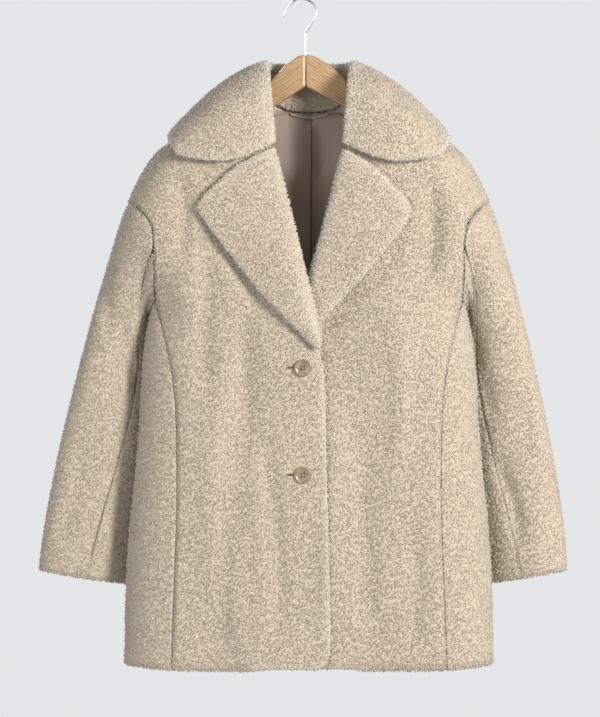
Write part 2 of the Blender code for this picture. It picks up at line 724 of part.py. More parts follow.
# ---------------------------------------------------------------- lining and loop
def build_lining():
    """Two halves of the back lining, one lapping the other at the centre pleat."""
    for side, hand in ((-1, "right"), (1, "left")):
        grid = []
        for row_number, (z, half_width) in enumerate(LINING_ROWS):
            inner_x = PLEAT_X if side < 0 else PLEAT_X + 0.0008
            row = []
            for c in range(LINING_COLS + 1):
                share = c / LINING_COLS
                x = inner_x + (side * half_width - inner_x) * share
                middle = middle_y(z)
                hung = middle + (LINING_Y - middle) * back_hollow(x, z)
                row.append((x, hung if row_number else LINING_TOP_Y, z))
            grid.append(row)
        cloth = Cloth()
        cloth.add("lining_back_" + hand, grid, -side)
        finish(cloth, "lining", LINING)


def build_loop():
    """The hanging loop, a narrow band across the back of the neck."""
    grid = []
    for edge in (0, 1):
        row = []
        for c in range(LOOP["cols"] + 1):
            share = c / LOOP["cols"]
            x = LOOP["left"] + (LOOP["right"] - LOOP["left"]) * share
            sag = LOOP["sag"] * (1 - (2 * share - 1) ** 2)
            row.append((x, LOOP["y"] - 0.0004 * math.sin(share * math.pi), LOOP["z"] - sag - edge * LOOP["wide"]))
        grid.append(row)
    cloth = Cloth()
    cloth.add("hanging_loop", grid, -1)
    finish(cloth, "lining", LOOP["thick"])


# ---------------------------------------------------------------- buttons and hanger
def build_button(name, x, z):
    """A flat, dished button lying on the top front."""
    back = front_y(x, z, True) - BUTTON_RISE
    profile = (
        # radius, forward of the button's back
        (BUTTON_R - 0.0012, 0.0),
        (BUTTON_R, 0.0009),
        (BUTTON_R, BUTTON_T - 0.0010),
        (BUTTON_R - 0.0009, BUTTON_T),
        (BUTTON_R - 0.0026, BUTTON_T),
        (BUTTON_R - 0.0038, BUTTON_T - 0.0009),
    )
    turns = 28
    vertices = [(x, back, z)]
    for radius, forward in profile:
        for t in range(turns):
            angle = 2 * math.pi * t / turns
            vertices.append((x + radius * math.cos(angle), back - forward, z + radius * math.sin(angle)))
    vertices.append((x, back - BUTTON_T + 0.0009, z))
    last = len(vertices) - 1
    faces = []
    for t in range(turns):
        after = (t + 1) % turns
        faces.append((0, 1 + after, 1 + t))
        for ring in range(len(profile) - 1):
            a, b = 1 + ring * turns + t, 1 + ring * turns + after
            faces.append((a, b, b + turns, a + turns))
        end = 1 + (len(profile) - 1) * turns
        faces.append((last, end + t, end + after))
    add_object(name, "button", vertices, faces)


def build_arm(name, side):
    """One wooden arm: its outline, given its thickness and rounded along the edges."""
    outline = []
    for x, z in ARM_OUTLINE:
        centred = HANGER_X * (1 - smooth(x / ARM_SHIFT_END))
        outline.append((centred + side * max(x, SEAM_GAP / 2), z))
    count = len(outline)
    vertices = [(x, y, z) for y in (-ARM_T / 2, ARM_T / 2) for x, z in outline]
    front, back = list(range(count)), list(range(2 * count - 1, count - 1, -1))
    faces = [front, back] + [((k + 1) % count, k, k + count, (k + 1) % count + count) for k in range(count)]
    if side > 0:
        faces = [tuple(reversed(face)) for face in faces]
    arm = add_object(name, "wood", vertices, faces)
    bevel = arm.modifiers.new("rounded", "BEVEL")
    bevel.width = ARM_ROUND
    bevel.segments = 2
    bevel.limit_method = "ANGLE"
    bevel.angle_limit = math.radians(60)


def build_hook():
    route = spline([(x, 0.0, z) for x, z in HOOK], 3)
    curve = bpy.data.curves.new("hook", "CURVE")
    curve.dimensions = "3D"
    run = curve.splines.new("POLY")
    run.points.add(len(route) - 1)
    for point, place_at in zip(run.points, place(route)):
        point.co = (*place_at, 1.0)
    curve.bevel_depth = WIRE_R
    curve.bevel_resolution = 2
    curve.use_fill_caps = True
    curve.materials.append(material("steel", "hook_finish"))
    bpy.context.collection.objects.link(bpy.data.objects.new("hook", curve))


build_body()
build_lapel("lapel_right", TOP_LAPEL, TOP_FRONT_EDGE, -1)
build_lapel("lapel_left", UNDER_LAPEL, UNDER_FRONT_EDGE, 1)
build_collar()
build_lining()
build_loop()
for number, (button_x, button_z) in enumerate(BUTTONS, 1):
    build_button("button_%d" % number, button_x, button_z)
build_arm("hanger_arm_right", -1)
build_arm("hanger_arm_left", 1)
build_hook()
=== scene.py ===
# %% [markdown]
# A faux fur coat on its wooden hanger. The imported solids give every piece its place
# and true form. Here each piece of fur cloth becomes a soft thin shell with its own
# creases and a pile of small tufts, and the satin, the wood, the wire and the buttons
# get their finish. The frame is loaded first, because everything is placed by it.
# %% Load the frame
import math

import bmesh
import bpy
import numpy as np
from mathutils import Matrix, Vector, kdtree, noise


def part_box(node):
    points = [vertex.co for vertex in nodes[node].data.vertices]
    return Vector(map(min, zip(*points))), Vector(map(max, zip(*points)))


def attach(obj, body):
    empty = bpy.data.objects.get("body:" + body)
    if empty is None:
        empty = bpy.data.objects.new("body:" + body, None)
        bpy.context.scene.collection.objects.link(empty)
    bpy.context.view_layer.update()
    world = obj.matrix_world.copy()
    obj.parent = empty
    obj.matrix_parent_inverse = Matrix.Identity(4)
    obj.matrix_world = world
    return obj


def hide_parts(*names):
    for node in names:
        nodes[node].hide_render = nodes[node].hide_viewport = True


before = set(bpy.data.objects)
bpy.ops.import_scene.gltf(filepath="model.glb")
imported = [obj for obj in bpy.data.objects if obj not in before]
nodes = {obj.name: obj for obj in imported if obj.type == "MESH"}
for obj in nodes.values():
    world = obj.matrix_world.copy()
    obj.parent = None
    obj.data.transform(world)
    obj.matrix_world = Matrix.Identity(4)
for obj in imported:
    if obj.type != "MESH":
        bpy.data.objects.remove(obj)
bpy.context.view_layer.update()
low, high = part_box("back")
CENTRE_X = (low[0] + high[0]) / 2      # the coat's own centre plane
COAT_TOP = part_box("collar")[1][2]
HEM = low[2]


def put(name, data):
    """A new object in the scene, at the origin."""
    made = bpy.data.objects.new(name, data)
    bpy.context.scene.collection.objects.link(made)
    return made


def as_mesh(form, name):
    """Keeps a bmesh as a mesh, and frees it."""
    mesh = bpy.data.meshes.new(name)
    form.to_mesh(mesh)
    form.free()
    return mesh


print("coat: %.0f mm wide, %.0f mm long" % ((high[0] - low[0]) * 1000, (COAT_TOP - HEM) * 1000))

# %% [markdown]
# The coat hangs at eye height before a plain pale ground, and is seen straight on from
# three and a half metres with a long lens, which keeps its outline true. A soft lamp at
# the right is the main light, a wide one at the left fills, and one behind lights the
# back. The pale room lights the coat less than it shows, so that folds keep their shade.
# %% Camera
LENS = 135.0
SENSOR = 36.0
VIEW_TALL = 0.962                       # height of the view at the coat's front
VIEW_X, VIEW_Z = -0.00265, -0.4914
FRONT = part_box("front_right")[0][1]
camera_data = bpy.data.cameras.new("camera")
camera_data.lens = LENS
camera_data.sensor_width = SENSOR
camera = put("camera", camera_data)
camera.location = (VIEW_X, FRONT - VIEW_TALL * LENS / SENSOR, VIEW_Z)
camera.rotation_euler = (math.pi / 2, 0, 0)
bpy.context.scene.camera = camera
print("camera at", [round(c, 3) for c in camera.location])


# %% Colours, lights and ground
def tone(red, green, blue):
    """A colour given as it looks on a screen, 0 to 255, as the linear one Blender wants."""
    shown = np.array([red, green, blue]) / 255
    linear = np.where(shown <= 0.04045, shown / 12.92, ((shown + 0.055) / 1.055) ** 2.4)
    return (*[float(c) for c in linear], 1.0)


def lamp(name, place, aim, size, watts, colour=(1, 1, 1)):
    data = bpy.data.lights.new(name, "AREA")
    data.shape = "DISK"
    data.size = size
    data.energy = watts
    data.color = colour
    made = put(name, data)
    made.location = place
    made.rotation_euler = (Vector(aim) - Vector(place)).to_track_quat("-Z", "Y").to_euler()


MIDDLE = (CENTRE_X, 0.0, -0.45)
lamp("main", (1.75, -2.1, 0.15), MIDDLE, 0.8, 76, (1.0, 0.985, 0.96))
lamp("fill", (-1.7, -2.4, -0.5), MIDDLE, 2.2, 25, (0.96, 0.98, 1.0))
lamp("behind", (-1.4, 2.4, 0.9), MIDDLE, 1.6, 52)
world = bpy.data.worlds.new("pale room")
world.use_nodes = True
PALE = tone(240, 241, 242)
SEEN, LIT = 0.90, 0.37                  # strength of the ground as seen, and as light
room = world.node_tree
lit, seen = room.nodes["Background"], room.nodes.new("ShaderNodeBackground")
for background, strength in ((lit, LIT), (seen, SEEN)):
    background.inputs["Color"].default_value = PALE
    background.inputs["Strength"].default_value = strength
chosen = room.nodes.new("ShaderNodeMixShader")
path = room.nodes.new("ShaderNodeLightPath")
room.links.new(path.outputs["Is Camera Ray"], chosen.inputs[0])
room.links.new(lit.outputs[0], chosen.inputs[1])
room.links.new(seen.outputs[0], chosen.inputs[2])
room.links.new(chosen.outputs[0], room.nodes["World Output"].inputs["Surface"])
bpy.context.scene.world = world
bpy.context.scene.view_settings.view_transform = "Standard"

FLOOR_Z = HEM - 0.35
FLOOR_R = 1.15
floor_mesh = bpy.data.meshes.new("floor")
floor_form = bmesh.new()
bmesh.ops.create_circle(floor_form, cap_ends=True, segments=96, radius=FLOOR_R)
floor_form.to_mesh(floor_mesh)
floor_mesh.transform(Matrix.Translation((CENTRE_X, 0, FLOOR_Z)))
floor = put("floor", floor_mesh)
paint = bpy.data.materials.new("floor_paint")
paint.use_nodes = True
matt = paint.node_tree.nodes["Principled BSDF"].inputs
matt["Base Color"].default_value = tone(205, 206, 208)
matt["Roughness"].default_value = 0.8
floor_mesh.materials.append(paint)
print("three lamps, floor %.2f m under the hem" % (HEM - FLOOR_Z))

# %% [markdown]
# Materials are small networks of nodes. Writing each by hand is long, so one helper adds
# a node, sets its values and joins its inputs, and each finish then reads as a short
# recipe. Patterns run on object coordinates, in metres, so they sit still on the piece.
# %% Helper for materials


class Finish:
    """A material whose nodes are added one by one."""

    def __init__(self, name, roughness, **fixed):
        self.made = bpy.data.materials.new(name)
        self.made.use_nodes = True
        self.tree = self.made.node_tree
        self.shader = self.tree.nodes["Principled BSDF"]
        self.shader.inputs["Roughness"].default_value = roughness
        for socket, value in fixed.items():
            self.shader.inputs[socket.replace("_", " ")].default_value = value
        self.object = self.add("ShaderNodeTexCoord").outputs["Object"]

    def add(self, kind, props=None, **inputs):
        made = self.tree.nodes.new(kind)
        for key, value in (props or {}).items():
            setattr(made, key, value)
        for key, value in inputs.items():
            socket = made.inputs[key.replace("_", " ")]
            if hasattr(value, "links"):
                self.tree.links.new(value, socket)
            else:
                socket.default_value = value
        return made

    def noise(self, scale, detail=2.0, vector=None, rough=0.5):
        return self.add("ShaderNodeTexNoise", Vector=vector or self.object, Scale=scale,
                        Detail=detail, Roughness=rough).outputs["Fac"]

    def ramp(self, fac, low_at, high_at, first, second):
        made = self.add("ShaderNodeValToRGB", Fac=fac)
        ends = made.color_ramp.elements
        ends[0].position, ends[1].position = low_at, high_at
        ends[0].color, ends[1].color = first, second
        return made.outputs["Color"]

    def mix(self, fac, first, second, blend="MIX"):
        made = self.tree.nodes.new("ShaderNodeMix")
        made.data_type, made.blend_type = "RGBA", blend
        for key, value in ((0, fac), (6, first), (7, second)):
            if hasattr(value, "links"):
                self.tree.links.new(value, made.inputs[key])
            else:
                made.inputs[key].default_value = value
        return made.outputs[2]

    def colour(self, value):
        self.tree.links.new(value, self.shader.inputs["Base Color"])

    def mottle(self, scale, first, second, detail=2.0, high_at=0.7):
        """Two tones in clouds of noise."""
        self.colour(self.ramp(self.noise(scale, detail), 0.3, high_at, first, second))

    def bump(self, height, distance, strength=1.0):
        made = self.add("ShaderNodeBump", Height=height, Distance=distance, Strength=strength)
        self.tree.links.new(made.outputs["Normal"], self.shader.inputs["Normal"])

    def attribute(self, name):
        made = self.tree.nodes.new("ShaderNodeAttribute")
        made.attribute_name = name
        return made.outputs["Fac"]


# %% [markdown]
# Teddy fur is a dense short pile of curls. Each curl is painted darker at its root than
# at its tip, painted shade deep in the pile, and no two are quite the same shade, so the
# pile reads an attribute for height and one for shade, and large soft clouds of noise add
# the uneven brushing of the nap. The ground between the tufts takes the root's painted
# shade, and the pile is painted paler near free edges as a painted highlight.
# %% Fur finishes
FUR_TIP = tone(234, 224, 211)
# The root tone is painted darker than the tip: painted shade deep in the pile.
FUR_ROOT_SHADED = tone(203, 186, 165)
FUR_SHADE = tone(214, 199, 180)
FUR_EDGE_HIGHLIGHT = tone(246, 238, 227)          # painted highlight where the cloth turns over a free edge

pile = Finish("fur_pile", 0.92, Sheen_Weight=0.25, Sheen_Roughness=0.6)
# Painted shade: the pile darkens from tip to root with height.
root_shaded = pile.mix(pile.attribute("height"), FUR_ROOT_SHADED, FUR_TIP)
brushed = pile.ramp(pile.noise(26.0, 3.0), 0.3, 0.7, (0.90, 0.89, 0.875, 1), (1, 1, 1, 1))
curled = pile.ramp(pile.attribute("shade"), 0.0, 1.0, (0.84, 0.825, 0.80, 1), (1, 1, 1, 1))
# Painted highlight: the pile pales towards the free edges.
rim_highlighted = pile.mix(pile.attribute("border"), root_shaded, FUR_EDGE_HIGHLIGHT)
pile.colour(pile.mix(1.0, pile.mix(1.0, rim_highlighted, brushed, "MULTIPLY"), curled, "MULTIPLY"))

ground = Finish("fur_ground", 0.95, Sheen_Weight=0.2, Sheen_Roughness=0.6)
# The ground is mottled from the root's painted shade to a paler tone.
ground.mottle(420.0, FUR_ROOT_SHADED, FUR_SHADE, detail=3.0)
ground.bump(ground.noise(380.0, 4.0, rough=0.6), 0.0016)
print("fur: pile and ground")

# %% Satin, wood, wire, button and thread finishes
# Painted sheen and shade: the satin's two tones run in long streaks down the cloth, as its pleats
# catch and lose the light.
SATIN = tone(206, 187, 173)
SATIN_SHADED = tone(180, 160, 147)
satin = Finish("satin", 0.36, Sheen_Weight=0.2, Specular_IOR_Level=0.45)
lengthwise = satin.add("ShaderNodeMapping", Vector=satin.object, Scale=(1.0, 1.0, 0.12)).outputs[0]
satin.colour(satin.ramp(satin.noise(60.0, 3.0, lengthwise), 0.3, 0.75, SATIN_SHADED, SATIN))
satin.bump(satin.noise(2600.0, 2.0, lengthwise), 0.00012, 0.6)


def wood_finish(name, slope):
    """Pale pine whose grain runs down the arm's slope."""
    made = Finish(name, 0.42, Coat_Weight=0.25, Coat_Roughness=0.25)
    turned = made.add("ShaderNodeMapping", Vector=made.object, Rotation=(0, slope, 0)).outputs[0]
    drawn = made.add("ShaderNodeMapping", Vector=turned, Scale=(0.10, 1.0, 1.0)).outputs[0]
    rings = made.add("ShaderNodeTexWave", {"bands_direction": "Z"}, Vector=drawn, Scale=88.0,
                     Distortion=4.0, Detail=2.0, Detail_Scale=9.0).outputs["Fac"]
    fibre = made.noise(900.0, 3.0, made.add("ShaderNodeMapping", Vector=turned,
                                           Scale=(0.05, 1.0, 1.0)).outputs[0])
    banded = made.ramp(rings, 0.1, 0.95, tone(200, 168, 126), tone(172, 137, 98))
    flecked = made.ramp(fibre, 0.35, 0.7, (0.92, 0.905, 0.88, 1), (1, 1, 1, 1))
    made.colour(made.mix(1.0, banded, flecked, "MULTIPLY"))
    made.bump(fibre, 0.0002, 0.5)
    return made.made


GRAIN_SLOPE = math.radians(35.7)
wood_right = wood_finish("pine_right", GRAIN_SLOPE)
wood_left = wood_finish("pine_left", -GRAIN_SLOPE)
wire = Finish("bright_wire", 0.34, Metallic=1.0)
wire.mottle(300.0, (0.40, 0.40, 0.41, 1), (0.46, 0.46, 0.47, 1))
horn = Finish("button_resin", 0.32, Coat_Weight=0.4, Coat_Roughness=0.15)
horn.mottle(160.0, tone(122, 104, 84), tone(172, 152, 128), detail=4.0, high_at=0.72)
horn.bump(horn.noise(700.0), 0.00008)
thread = Finish("thread", 0.7)
thread.mottle(3000.0, tone(112, 94, 76), tone(150, 130, 108))
thread.bump(thread.noise(4000.0), 0.0002)
print("satin, pine, wire, button resin, thread")

# %% [markdown]
# A cut piece of fur cloth is a thin closed wall. A copy of its solid has its loose
# triangles welded and paired into quads, and a subdivision surface then turns the facets
# into one smooth skin. Edges that meet a neighbour at a seam are held sharp, so the
# seam stays closed, and so are the hem and the cuffs. The free edges of the lapels, the
# collar and the front opening are left to round over softly.
# %% Copy a solid as a smooth skin
WELD = 2e-5
SHARP_TURN = math.radians(55)
HEM_BAND, CUFF_BAND = 0.012, 0.03
CUFF_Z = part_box("sleeve_upper_right")[0][2]
OVERLAP_HALF = 0.055                    # the front edges lie within this of the centre
FRONT_OPENS = -0.40                     # the front edges are free below this height
SLEEVE_OUT = 0.2                        # the sleeves' ends hang further out than this
SEAM_STEPS = 6                          # points kept along each facet's edge at a seam
FINE_LEVELS = 2                         # times that each facet is split in four


def free_edge(piece, point):
    """True where an edge is left to round over: front edges, lapels and collar."""
    if piece.startswith(("lapel", "collar")):
        return True
    near = piece.startswith("front") and abs(point.x - CENTRE_X) < OVERLAP_HALF
    return near and point.z < FRONT_OPENS


def open_edge(piece, point):
    """True at the hem and the cuffs, which are sewn to nothing."""
    if piece.startswith("sleeve"):
        return point.z < CUFF_Z + CUFF_BAND and abs(point.x - CENTRE_X) > SLEEVE_OUT
    return point.z < HEM + HEM_BAND


def evaluated_mesh(thing):
    bpy.context.view_layer.update()
    return bpy.data.meshes.new_from_object(
        thing.evaluated_get(bpy.context.evaluated_depsgraph_get()))


def smooth_skin(piece):
    """A fine closed copy of a CAD node, with points along its seams and its free edges."""
    form = bmesh.new()
    form.from_mesh(nodes[piece].data)
    bmesh.ops.remove_doubles(form, verts=form.verts, dist=WELD)
    bmesh.ops.join_triangles(form, faces=form.faces, angle_face_threshold=math.radians(45),
                             angle_shape_threshold=math.radians(75))
    hold = form.edges.layers.float.new("crease_edge")
    seam, border = [], []
    for edge in form.edges:
        if len(edge.link_faces) == 2 and edge.calc_face_angle() > SHARP_TURN:
            first, last = (corner.co.copy() for corner in edge.verts)
            held = not free_edge(piece, (first + last) / 2)
            edge[hold] = 1.0 if held else 0.0
            along = [first.lerp(last, step / SEAM_STEPS) for step in range(SEAM_STEPS)]
            if not held:
                border += along
            elif not open_edge(piece, (first + last) / 2):
                seam += along
    mesh = as_mesh(form, piece)
    skin = put(piece + "_skin", mesh)
    fine = skin.modifiers.new("fine", "SUBSURF")
    fine.levels = fine.render_levels = FINE_LEVELS
    skin.data = evaluated_mesh(skin)
    skin.modifiers.clear()
    skin.data.materials.clear()
    return skin, seam, border


# %% [markdown]
# Real cloth never hangs flat. The main creases are placed one by one, each a soft ridge
# or trough with its own length, width and depth, and both sides of the wall move
# together so the cloth keeps its thickness. A slow noise adds the slight unevenness of
# the pile. Where two pieces are sewn, the pile sinks, so the outer side dips at a seam.
# %% Creases one by one
CREASES = (
    # on, x_top, z_top, x_low, z_low, width, depth (a trough is below zero)
    ("front", -0.148, -0.300, -0.132, -0.560, 0.0150, -0.0065),
    ("front", -0.118, -0.440, -0.128, -0.880, 0.0170, 0.0058),
    ("front", -0.072, -0.380, -0.092, -0.640, 0.0140, -0.0043),
    ("front", -0.050, -0.560, -0.046, -0.900, 0.0120, -0.0055),
    ("front", -0.088, -0.690, -0.100, -0.905, 0.0130, 0.0046),
    ("front", 0.028, -0.520, 0.036, -0.900, 0.0130, 0.0043),
    ("front", 0.080, -0.560, 0.074, -0.905, 0.0150, -0.0061),
    ("front", 0.125, -0.400, 0.112, -0.700, 0.0140, 0.0043),
    ("front", 0.138, -0.700, 0.142, -0.905, 0.0120, -0.0043),
    ("front", 0.158, -0.235, 0.172, -0.400, 0.0110, -0.0058),
    ("front", -0.176, -0.225, -0.170, -0.375, 0.0110, -0.0052),
    ("front", 0.060, -0.395, 0.020, -0.470, 0.0120, -0.0038),
    ("front", -0.152, -0.300, -0.020, -0.470, 0.0130, -0.0060),
    ("front", 0.142, -0.318, 0.036, -0.425, 0.0130, -0.0060),
    ("back", -0.140, -0.320, -0.132, -0.700, 0.0170, -0.0072),
    ("back", -0.085, -0.250, -0.096, -0.880, 0.0150, 0.0061),
    ("back", -0.010, -0.420, -0.024, -0.905, 0.0160, -0.0074),
    ("back", 0.062, -0.300, 0.070, -0.760, 0.0140, 0.0048),
    ("back", 0.130, -0.280, 0.118, -0.640, 0.0150, -0.0070),
    ("back", 0.155, -0.600, 0.150, -0.905, 0.0140, 0.0048),
    ("sleeve", -0.276, -0.330, -0.262, -0.470, 0.0110, -0.0052),
    ("sleeve", -0.250, -0.420, -0.236, -0.560, 0.0100, -0.0045),
    ("sleeve", -0.312, -0.600, -0.330, -0.760, 0.0120, -0.0037),
    ("sleeve", -0.280, -0.640, -0.268, -0.780, 0.0100, 0.0037),
    ("sleeve", 0.268, -0.320, 0.256, -0.455, 0.0110, -0.0050),
    ("sleeve", 0.236, -0.430, 0.246, -0.590, 0.0100, -0.0050),
    ("sleeve", 0.300, -0.500, 0.318, -0.650, 0.0130, 0.0042),
    ("sleeve", 0.266, -0.610, 0.286, -0.760, 0.0090, -0.0065),
    ("sleeve", 0.330, -0.660, 0.338, -0.780, 0.0110, -0.0035),
    ("lining", -0.052, -0.165, -0.060, -0.420, 0.0080, -0.0022),
    ("lining", -0.026, -0.170, -0.018, -0.480, 0.0060, 0.0016),
    ("lining", 0.014, -0.170, 0.008, -0.500, 0.0045, -0.0026),
    ("lining", 0.040, -0.175, 0.050, -0.430, 0.0080, 0.0018),
)
ENDS = 0.28                             # share of a crease in which it fades in or out
BOW, BOW_TURN, BOW_SHIFT = 0.006, 5.0, 40.0     # the slight curve of each crease
UNEVEN, UNEVEN_GRAIN = 0.0016, (14, 6, 9)       # the slow noise: height, and grain on x, y, z
BODY_MID_Y, SLEEVE_MID_Y = -0.010, 0.022
SLEEVE_BAND = 0.022                     # half the depth in which a sleeve's front turns to back


def crease_depth(group, x, z):
    """How far the creases of a group lift the cloth at a place, in metres."""
    total = 0.0
    for on, x_top, z_top, x_low, z_low, width, depth in CREASES:
        if on != group:
            continue
        run = Vector((x_low - x_top, z_low - z_top))
        gone = Vector((x - CENTRE_X - x_top, z - z_top))
        share = gone.dot(run) / run.length_squared
        if not 0.0 < share < 1.0:
            continue
        bow = BOW * math.sin(share * BOW_TURN + x_top * BOW_SHIFT)
        off = (gone - run * share).length
        side = math.copysign(off, gone.x - run.x * share) - bow
        fade = min(min(share, 1.0 - share) / ENDS, 1.0)
        total += depth * math.exp(-(side / width) ** 2) * fade * fade * (3 - 2 * fade)
    return total


TURN_BAND = 0.015                       # half the depth in which front turns to back


def turn(y, middle, band):
    """From -1 in front of a middle plane to 1 behind it."""
    return max(-1.0, min(1.0, (y - middle) / band))


def lift(piece, x, y, z):
    """How far the creases and the unevenness of the pile move a point back, in metres."""
    grain = Vector([at * fine for at, fine in zip((x, y, z), UNEVEN_GRAIN)])
    uneven = UNEVEN * noise.noise(grain)
    if piece.startswith("sleeve"):
        return (crease_depth("sleeve", x, z) + uneven) * turn(y, SLEEVE_MID_Y, SLEEVE_BAND)
    if piece.startswith("lining"):
        return -crease_depth("lining", x, z) - uneven
    if piece.startswith("side"):
        behind = turn(y, BODY_MID_Y, TURN_BAND)
    else:
        behind = 1.0 if piece == "back" else -1.0
    depth = crease_depth("back" if behind > 0 else "front", x, z)
    return (depth + uneven) * behind


def hand_crease(skin, piece):
    """Moves both sides of the wall forward or back by the creases that cross them."""
    if piece.startswith(("lapel", "collar", "hanging")):
        return
    for vertex in skin.data.vertices:
        vertex.co.y += lift(piece, *vertex.co)


# %% [markdown]
# To know which faces carry pile, each face is asked whether it looks away from the
# hollow it encloses. Those that look in are lined with satin. The collar has fur on
# both sides, because its inside shows behind the hanger.
# %% Which faces are outside
ARM_LINE = (
    # x, y, z down the middle of a sleeve
    (0.2250, -0.004, -0.300), (0.2390, 0.000, -0.367), (0.2465, 0.015, -0.4245),
    (0.2550, 0.023, -0.556), (0.2690, 0.026, -0.6565), (0.2890, 0.025, -0.800),
)


HOLLOW_WIDE, HOLLOW_DROP = 0.62, 0.03   # how far out and down a wall's middle point lies


def hollow_middle(piece, point):
    """A point inside the hollow, near the given point of the wall."""
    if piece.startswith("sleeve"):
        side = 1 if point.x > CENTRE_X else -1
        heights = [-z for _, _, z in ARM_LINE]
        x, y = (np.interp(-point.z, heights, [spot[k] for spot in ARM_LINE]) for k in (0, 1))
        return Vector((CENTRE_X + side * x, y, point.z))
    return Vector((CENTRE_X + HOLLOW_WIDE * (point.x - CENTRE_X), BODY_MID_Y,
                   point.z - HOLLOW_DROP))


LINED_BELOW = -0.45                     # faces that look in more than this are lined
LAPEL_UNDER = 0.35                      # a lapel's faces that look back more than this are under
RIM_TURN, CUFF_RIM_Z = 0.7, -0.76       # a rim faces down or sideways at least this much


def facing(piece, point, normal):
    """From 1, where a face looks straight out of the hollow, to -1, straight in."""
    return normal.dot((point - hollow_middle(piece, point)).normalized())


def nearest(points):
    """A tree that finds the nearest of the points."""
    tree = kdtree.KDTree(len(points))
    for number, point in enumerate(points):
        tree.insert(point, number)
    tree.balance()
    return tree


def looks_out(piece, point, normal):
    if piece == "collar":
        return True
    if piece.startswith("lapel"):
        return normal.y < LAPEL_UNDER
    return facing(piece, point, normal) > 0.0


def free_rim(piece, point, normal):
    if piece.startswith("sleeve"):
        return normal.z < -RIM_TURN and point.z < CUFF_RIM_Z
    if normal.z < -RIM_TURN and point.z < HEM + HEM_BAND:
        return True
    near = piece.startswith("front") and abs(point.x - CENTRE_X) < OVERLAP_HALF
    return near and abs(normal.x) > RIM_TURN


BORDER_REACH, BORDER_HIGHLIGHT = 0.010, 0.75     # how far in from a free edge the painted highlight reaches, and how strong


def mark_outside(skin, piece, border):
    """Gives inside faces the satin, and marks each face's pile and its painted highlight near an
    edge.
    """
    lined = not piece.startswith(("lapel", "collar"))
    mesh = skin.data
    mesh.materials.append(ground.made)
    mesh.materials.append(satin.made)
    mesh.attributes.new("pile", "FLOAT", "FACE")
    mesh.attributes.new("border", "FLOAT", "FACE")
    pile_share, edge_highlight = mesh.attributes["pile"], mesh.attributes["border"]
    edge_of = nearest(border) if border else None
    for face in mesh.polygons:
        face.use_smooth = True
        out = looks_out(piece, face.center, face.normal)
        rim = free_rim(piece, face.center, face.normal)
        inward = facing(piece, face.center, face.normal) < LINED_BELOW
        face.material_index = 1 if lined and inward and not rim else 0
        pile_share.data[face.index].value = 1.0 if out or rim else 0.0
        # Painted highlight: how much the pile pales at this face's distance from a free edge.
        if edge_of:
            away = edge_of.find(face.center)[2]
            highlight_share = BORDER_HIGHLIGHT * math.exp(-(away / BORDER_REACH) ** 2)
            edge_highlight.data[face.index].value = highlight_share


SEAM_DIP, SEAM_REACH = 0.0017, 0.0065


def dip_seams(skin, piece, tree):
    """Sinks the outside of the wall towards the seams it is sewn along."""
    steps = []
    for vertex in skin.data.vertices:
        if looks_out(piece, vertex.co, vertex.normal):
            away = tree.find(vertex.co)[2]
            if away < 3 * SEAM_REACH:
                sunk = SEAM_DIP * math.exp(-(away / SEAM_REACH) ** 2)
                steps.append((vertex.index, vertex.normal * sunk))
    for index, step in steps:
        skin.data.vertices[index].co -= step
    return len(steps)


BUTTON_MIDDLES = [(Vector(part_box(node)[0]) + Vector(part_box(node)[1])) / 2
                  for node in ("button_1", "button_2")]
BUTTON_CLEAR = 0.0135
BUTTON_SIDE_Y = -0.04                   # the cloth under the buttons lies in front of this
SLIT_OFF, SLIT_LONG, SLIT_TALL = -0.0155, 0.0085, 0.0028


def bare_at(point):
    """True under a button and in its buttonhole, where no pile grows."""
    if point.y >= BUTTON_SIDE_Y:
        return False
    for middle in BUTTON_MIDDLES:
        across, up = point.x - middle.x, point.z - middle.z
        if math.hypot(across, up) < BUTTON_CLEAR:
            return True
        if abs(across - SLIT_OFF) < SLIT_LONG / 2 and abs(up) < SLIT_TALL:
            return True
    return False


# %% [markdown]
# The pile repeats a tuft hundreds of thousands of times, which is what Geometry Nodes
# are for. Points are scattered over the outside, each gets a small three-sided tuft
# that leans down with the nap, and its height and shade are stored for the material.
# Realize Instances makes it all one mesh, which the script then keeps as a plain piece.
# %% The tuft network
TUFT_LONG, TUFT_WIDE = 0.0030, 0.00118
TUFTS_EACH_M2 = 200000.0
TUFT_SIDES, TUFT_SIZES = 3, (0.7, 1.25)  # sides of a tuft, and its smallest and largest scale
STRAY = 0.8                             # how far tufts stray from standing upright
SHADE_SEED = 7
NAP = (0.0, -0.05, -0.25)               # the way the pile is brushed


